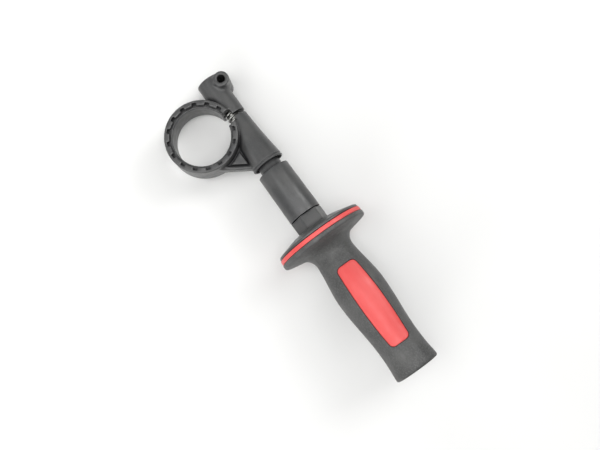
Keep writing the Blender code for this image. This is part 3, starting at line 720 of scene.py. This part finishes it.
def on_grip(along, across, above):
    """A point over the badge's middle line, at a height above the grip's surface."""
    station = BADGE_MIDDLE + along
    radius = grip_radius(station) + above
    up = math.sqrt(radius ** 2 - across ** 2)
    facing = GRIP_TURN - math.pi / 2
    y = AXIS_OFFSET - across * math.cos(facing) - up * math.sin(facing)
    z = -across * math.sin(facing) + up * math.cos(facing)
    return (station, y, z)


def inlay(name, rings, cap_rings):
    """A solid of rings (grown, above) along the badge's edge, with caps that shrink to a line."""
    points, faces = [], []
    for grown, above in rings:
        points += [on_grip(along, across, above) for along, across in badge_edge(grown)]
    size = len(points) // len(rings)
    edges = [range(first, first + size) for first in range(0, len(points), size)]
    for one, two in zip(edges, edges[1:]):
        faces += strip(one, two)
    for (grown, above), last in ((rings[0], edges[0]), (rings[-1], edges[-1])):
        for ring in range(1, cap_rings + 1):
            share = 1 - ring / cap_rings
            inner = range(len(points), len(points) + size)
            points += [on_grip(along * (share + (1 - share) * BADGE_SPINE), across * share, above)
                       for along, across in badge_edge(grown)]
            faces += strip(last, inner)
            last = inner
    return mesh_from(name, points, faces, merge=True)


def build_cover():
    """The soft cover with the pocket for the badge."""
    cover = lathe("grip_cover_soft", grip_outline())
    depth = -BADGE_THICKNESS - FACE_GAP
    rings = [(FACE_GAP, depth), (FACE_GAP, -POCKET_LIP), (FACE_GAP + 3 * POCKET_LIP, 2 * POCKET_LIP)]
    return cut_out(cover, [make_object("badge_pocket", inlay("badge_pocket", rings, POCKET_RINGS))])


def build_badge():
    """The bare red inlay, flush with the grip and with a rounded edge."""
    rings = [(0.0, -BADGE_THICKNESS)]
    for step in range(CORNER_STEPS + 1):
        angle = math.pi / 2 * step / CORNER_STEPS
        rings.append((-BADGE_EDGE * (1 - math.cos(angle)),
                      -BADGE_SINK - BADGE_EDGE * (1 - math.sin(angle))))
    return make_object("badge_inlay_smooth", inlay("badge_inlay_smooth", rings, BADGE_RINGS))


def thread_radius(station, turn):
    """The bolt's radius on its rolled thread at a share of a turn. The thread runs out at its ends."""
    taper = min((BOLT_END - station) / THREAD_PITCH, (station - THREAD_START) / THREAD_PITCH, 1.0)
    tip = max(1.0 - (BOLT_END - station) / THREAD_PITCH, 0.0)
    phase = (station / THREAD_PITCH - turn) % 1.0
    cut = THREAD_DEPTH * (1 - abs(2 * phase - 1)) * taper + tip * THREAD_DEPTH
    return BOLT_RADIUS - cut


def build_bolt():
    """The clamp bolt with a rolled thread, and a head with two flats and a groove for the rod."""
    outline = eased_outline([(THREAD_START, BOLT_RADIUS, 0),
                             (HEAD_FRONT, BOLT_RADIUS, FINE_EDGE),
                             (HEAD_FRONT, HEAD_RADIUS, SOFT_EDGE),
                             (HEAD_BACK, HEAD_RADIUS, HEAD_EDGE),
                             (HEAD_BACK, 0.0, 0)])
    angles = [2 * math.pi * step / THREAD_STEPS for step in range(THREAD_STEPS)]
    points = []
    count = round((BOLT_END - THREAD_START) / THREAD_PITCH * THREAD_RINGS)
    for index in range(count, -1, -1):
        station = THREAD_START + (BOLT_END - THREAD_START) * index / count
        points += [around(station, thread_radius(station, step / THREAD_STEPS), angle)
                   for step, angle in enumerate(angles)]
    for station, radius in outline[1:-1]:
        points += [around(station, radius, angle) for angle in angles]
    bolt = tube("clamp_bolt_threaded", points, THREAD_STEPS)
    flats = [cutter_box((HEAD_BACK - CUT_MARGIN, AXIS_OFFSET - CUT_REACH, side * HEAD_FLAT_HALF),
                        (HEAD_FRONT + CUT_STEP, AXIS_OFFSET + CUT_REACH, side * (HEAD_RADIUS + CUT_MARGIN)))
             for side in (-1, 1)]
    return cut_out(bolt, flats + [cutter_rod(ROD_GROOVE_RADIUS, GUIDE_STATION, GUIDE_OFFSET, CUT_REACH)])


def build_spring():
    """The spring round the bolt, a swept wire with closed ends."""
    start = -SPRING_SEAT_END + FACE_GAP + SPRING_WIRE_RADIUS
    turns = -2 * start / SPRING_PITCH
    sections = round(turns * THREAD_STEPS)
    points = []
    for section in range(sections + 1):
        share = section / sections
        turn = 2 * math.pi * turns * share
        station = start - 2 * start * share
        for side in range(WIRE_STEPS):
            angle = 2 * math.pi * side / WIRE_STEPS
            radius = SPRING_RADIUS + SPRING_WIRE_RADIUS * math.cos(angle)
            # The wire starts below the bolt, as the solids' helix does
            points.append((station + SPRING_WIRE_RADIUS * math.sin(angle),
                           AXIS_OFFSET + radius * math.sin(turn),
                           -radius * math.cos(turn)))
    return tube("opening_spring_wire", points, WIRE_STEPS)


def build_insert():
    """The hexagonal steel insert inside the core."""
    outline = eased_outline([(INSERT_END, INSERT_HOLE_RADIUS, FINE_EDGE),
                             (INSERT_END, INSERT_APOTHEM, FINE_EDGE),
                             (INSERT_START, INSERT_APOTHEM, FINE_EDGE),
                             (INSERT_START, INSERT_HOLE_RADIUS, FINE_EDGE)])
    return lathe("thread_insert_nut", outline, closed=True,
                 hexagonal=lambda radius: radius > (INSERT_HOLE_RADIUS + INSERT_APOTHEM) / 2)


# Materials

class Nodes:
    """A material's nodes, with short calls to add and join them."""

    def __init__(self, name):
        self.material = bpy.data.materials.new(name)
        self.material.use_nodes = True
        self.tree = self.material.node_tree
        self.shader = self.tree.nodes["Principled BSDF"]
        self.place = self.tree.nodes.new("ShaderNodeTexCoord").outputs["Object"]
        self.normal = None

    def noise(self, scale, detail=3.0, rough=0.5, stretch=None):
        """Noise over the object's own coordinates."""
        node = self.tree.nodes.new("ShaderNodeTexNoise")
        node.inputs["Scale"].default_value = scale
        node.inputs["Detail"].default_value = detail
        node.inputs["Roughness"].default_value = rough
        source = self.place
        if stretch:
            mapping = self.tree.nodes.new("ShaderNodeMapping")
            mapping.inputs["Scale"].default_value = stretch
            self.tree.links.new(self.place, mapping.inputs["Vector"])
            source = mapping.outputs["Vector"]
        self.tree.links.new(source, node.inputs["Vector"])
        return node.outputs["Fac"]

    def spread(self, value, low, high, out_low=0.0, out_high=1.0):
        """Maps a range of values to another, held at its ends."""
        node = self.tree.nodes.new("ShaderNodeMapRange")
        node.inputs["From Min"].default_value = low
        node.inputs["From Max"].default_value = high
        node.inputs["To Min"].default_value = out_low
        node.inputs["To Max"].default_value = out_high
        self.tree.links.new(value, node.inputs["Value"])
        return node.outputs["Result"]

    def mix(self, share, one, two):
        """One colour or the other, by a share."""
        node = self.tree.nodes.new("ShaderNodeMix")
        node.data_type = 'RGBA'
        self.tree.links.new(share, node.inputs["Factor"])
        for socket, colour in ((node.inputs["A"], one), (node.inputs["B"], two)):
            if isinstance(colour, tuple):
                socket.default_value = (*colour, 1.0)
            else:
                self.tree.links.new(colour, socket)
        return node.outputs["Result"]

    def bump(self, height, strength, distance):
        """Adds a layer of relief over the layers before it."""
        node = self.tree.nodes.new("ShaderNodeBump")
        node.inputs["Strength"].default_value = strength
        node.inputs["Distance"].default_value = distance * MM
        self.tree.links.new(height, node.inputs["Height"])
        if self.normal is not None:
            self.tree.links.new(self.normal, node.inputs["Normal"])
        self.normal = node.outputs["Normal"]
        self.link(self.normal, "Normal")

    def patches(self, scale, **shape):
        """A share in soft patches, from noise."""
        return self.spread(self.noise(scale, **shape), low=0.35, high=0.65)

    def gloss(self, scale, smooth, rough):
        """Roughness that wanders between two values."""
        self.link(self.spread(self.noise(scale), low=0.3, high=0.7, out_low=smooth, out_high=rough),
                  "Roughness")

    def edges(self, low, high):
        """A share that rises on outer edges."""
        node = self.tree.nodes.new("ShaderNodeNewGeometry")
        return self.spread(node.outputs["Pointiness"], low, high)

    def painted_shade_openness(self, distance):
        """A share that falls in corners and pockets, where shade is painted into the colour."""
        node = self.tree.nodes.new("ShaderNodeAmbientOcclusion")
        node.samples = SHADE_SAMPLES
        node.inputs["Distance"].default_value = distance * MM
        return self.spread(node.outputs["AO"], SHADE_DEEP, SHADE_FREE)

    def link(self, value, socket):
        """Joins a value to one of the shader's sockets."""
        self.tree.links.new(value, self.shader.inputs[socket])


def nylon_material():
    """Glass-filled black nylon: eroded satin skin, a little glass showing, edges paler from wear and
    painted highlight, and painted shade in corners.
    """
    nodes = Nodes("black_nylon_skin")
    grain = nodes.noise(scale=2600.0, detail=2.0, rough=0.6)
    colour = nodes.mix(nodes.patches(scale=60.0, detail=4.0), NYLON_DARK, NYLON_PALE)
    colour = nodes.mix(nodes.spread(grain, low=0.5, high=0.8), colour, NYLON_GLASS)
    # Outer edges lightened: part wear, part painted highlight
    colour = nodes.mix(nodes.edges(low=0.6, high=0.72), colour, NYLON_EDGE_WEAR_AND_HIGHLIGHT)
    # Painted shade: the colour darkens towards NYLON_SHADE in corners and pockets, and the specular drops
    # there too
    painted_shade_openness = nodes.painted_shade_openness(distance=4.0)
    nodes.link(nodes.mix(painted_shade_openness, NYLON_SHADE, colour), "Base Color")
    shine = nodes.spread(painted_shade_openness, low=0.0, high=1.0, out_low=0.18, out_high=0.5)
    nodes.link(shine, "Specular IOR Level")
    nodes.gloss(scale=220.0, smooth=0.3, rough=0.44)
    nodes.bump(grain, strength=0.25, distance=0.05)
    nodes.bump(nodes.noise(scale=350.0, detail=2.0), strength=0.2, distance=0.06)
    return nodes.material


def cover_material():
    """Matt soft elastomer: mottled, speckled and finely pebbled, with faint handling marks and painted
    shade in its hollows.
    """
    nodes = Nodes("soft_grip_skin")
    colour = nodes.mix(nodes.patches(scale=55.0, detail=6.0, rough=0.62), COVER_DARK, COVER_PALE)
    speckle = nodes.spread(nodes.noise(scale=900.0, rough=0.6), low=0.45, high=0.7)
    colour = nodes.mix(speckle, colour, COVER_SPECKLE)
    smears = nodes.noise(scale=90.0, detail=6.0, rough=0.65, stretch=(0.35, 1.0, 1.0))
    colour = nodes.mix(nodes.spread(smears, low=0.58, high=0.72), colour, COVER_MARK)
    # Painted shade: the colour darkens towards COVER_SHADE in corners and pockets
    nodes.link(nodes.mix(nodes.painted_shade_openness(distance=6.0), COVER_SHADE, colour), "Base Color")
    nodes.gloss(scale=150.0, smooth=0.46, rough=0.64)
    nodes.bump(nodes.noise(scale=1800.0, detail=2.0), strength=0.35, distance=0.06)
    nodes.bump(nodes.noise(scale=500.0, detail=2.0), strength=0.15, distance=0.05)
    nodes.shader.inputs["Sheen Weight"].default_value = COVER_SHEEN
    nodes.shader.inputs["Sheen Roughness"].default_value = COVER_SHEEN_ROUGHNESS
    return nodes.material


def red_material(name):
    """Light red satin plastic with faint flow marks."""
    nodes = Nodes(name)
    flow = nodes.patches(scale=70.0, detail=4.0, rough=0.55, stretch=(0.4, 1.0, 1.0))
    nodes.link(nodes.mix(flow, RED_DEEP, RED_LIGHT), "Base Color")
    nodes.gloss(scale=260.0, smooth=0.36, rough=0.5)
    nodes.bump(nodes.noise(scale=1400.0, detail=2.0), strength=0.15, distance=0.04)
    return nodes.material


def steel_material():
    """Bright zinc plating over drawn steel, with painted shade where it lies deep."""
    nodes = Nodes("zinc_plating")
    drawn = nodes.noise(scale=300.0, detail=4.0, rough=0.6, stretch=(0.12, 1.0, 1.0))
    colour = nodes.mix(nodes.spread(drawn, low=0.3, high=0.7), STEEL_DARK, STEEL_PALE)
    # Painted shade: the colour darkens towards STEEL_SHADE in corners and pockets
    nodes.link(nodes.mix(nodes.painted_shade_openness(distance=3.0), STEEL_SHADE, colour), "Base Color")
    nodes.gloss(scale=500.0, smooth=0.26, rough=0.42)
    nodes.bump(drawn, strength=0.12, distance=0.03)
    nodes.shader.inputs["Metallic"].default_value = 1.0
    return nodes.material


# The pieces in the frame, and the studio round them

def dress(obj, material, body, node):
    """Gives a piece its material and its body, and hides the node that it stands for."""
    obj.data.materials.clear()
    obj.data.materials.append(material)
    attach(obj, body)
    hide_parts(node)


def sheet_to_frame():
    """The place of the photograph's sheet in the handle's frame, with the camera's foot as its origin."""
    heading = Vector((math.cos(HANDLE_HEADING), math.sin(HANDLE_HEADING), 0.0))
    beside = Vector((-math.sin(HANDLE_HEADING), math.cos(HANDLE_HEADING), 0.0))
    up = Vector((0.0, 0.0, 1.0))
    along = heading * math.cos(HANDLE_PITCH) + up * math.sin(HANDLE_PITCH)
    level_up = -heading * math.sin(HANDLE_PITCH) + up * math.cos(HANDLE_PITCH)
    top = level_up * math.cos(HANDLE_ROLL) + beside * math.sin(HANDLE_ROLL)
    turn = Matrix((along, top.cross(along), top))
    guard = Vector((GUARD_CENTRE_STATION, AXIS_OFFSET, 0.0))
    place = turn.to_4x4()
    place.translation = (guard - turn @ Vector(GUARD_CENTRE_ON_SHEET)) * MM
    return place


def add_camera(sheet):
    """The camera, straight above the sheet."""
    data = bpy.data.cameras.new("camera")
    data.lens = CAMERA_LENS
    data.sensor_width = CAMERA_SENSOR
    data.clip_start = CAMERA_NEAR
    data.clip_end = CAMERA_FAR
    camera = bpy.data.objects.new("camera", data)
    camera.matrix_world = sheet @ Matrix.Translation((0.0, 0.0, CAMERA_HEIGHT * MM))
    bpy.context.scene.collection.objects.link(camera)
    bpy.context.scene.camera = camera


def add_floor(sheet):
    """A plain pale floor where the photograph's sheet lies."""
    bm = bmesh.new()
    bmesh.ops.create_circle(bm, cap_ends=True, segments=FLOOR_SIDES, radius=FLOOR_RADIUS)
    floor = bpy.data.objects.new("floor", finished(bm, "floor"))
    tilt = Matrix.Rotation(HANDLE_HEADING, 4, 'Z') @ Matrix.Rotation(-FLOOR_TILT, 4, 'Y')
    floor.matrix_world = sheet @ Matrix.Translation((0.0, 0.0, FLOOR_HEIGHT * MM)) @ tilt
    bpy.context.scene.collection.objects.link(floor)
    nodes = Nodes("pale_floor")
    tone = nodes.spread(nodes.noise(scale=3.0, detail=2.0), low=0.3, high=0.7)
    nodes.link(nodes.mix(tone, FLOOR_DARK, FLOOR_PALE), "Base Color")
    nodes.shader.inputs["Roughness"].default_value = FLOOR_ROUGHNESS
    floor.data.materials.append(nodes.material)


def add_light(sheet, name, azimuth, elevation, power):
    """A soft round light over the sheet, aimed at its middle."""
    data = bpy.data.lights.new(name, 'AREA')
    data.shape = 'DISK'
    data.size = LIGHT_SIZE
    data.energy = power
    light = bpy.data.objects.new(name, data)
    turn, rise = math.radians(azimuth), math.radians(elevation)
    place = LIGHT_DISTANCE * Vector((math.cos(rise) * math.cos(turn), math.cos(rise) * math.sin(turn),
                                     math.sin(rise)))
    aim = (-place).to_track_quat('-Z', 'Y').to_matrix().to_4x4()
    light.matrix_world = sheet @ Matrix.Translation(place) @ aim
    bpy.context.scene.collection.objects.link(light)


def add_world():
    """An even pale studio all round."""
    world = bpy.data.worlds.new("studio")
    world.use_nodes = True
    background = world.node_tree.nodes["Background"]
    background.inputs["Color"].default_value = (1.0, 1.0, 1.0, 1.0)
    background.inputs["Strength"].default_value = WORLD_LIGHT
    bpy.context.scene.world = world
    bpy.context.scene.view_settings.view_transform = 'Standard'


SHEET = sheet_to_frame()
add_camera(SHEET)
add_floor(SHEET)
for light_name, light_azimuth, light_elevation, light_power in LIGHTS:
    add_light(SHEET, light_name, light_azimuth, light_elevation, light_power)
add_world()

NYLON = nylon_material()
STEEL = steel_material()
dress(build_collar(), NYLON, "clamp", "clamp_collar")
dress(build_bolt(), STEEL, "clamp", "clamp_bolt")
dress(build_spring(), STEEL, "clamp", "opening_spring")
dress(build_sleeve(), NYLON, "sleeve", "spacer_sleeve")
dress(build_guard(), NYLON, "grip", "guard_disc")
dress(build_core(), red_material("core_red"), "grip", "grip_core")
dress(build_insert(), STEEL, "grip", "thread_insert")
dress(build_cover(), cover_material(), "grip", "grip_cover")
dress(build_badge(), red_material("badge_red"), "grip", "badge_inlay")
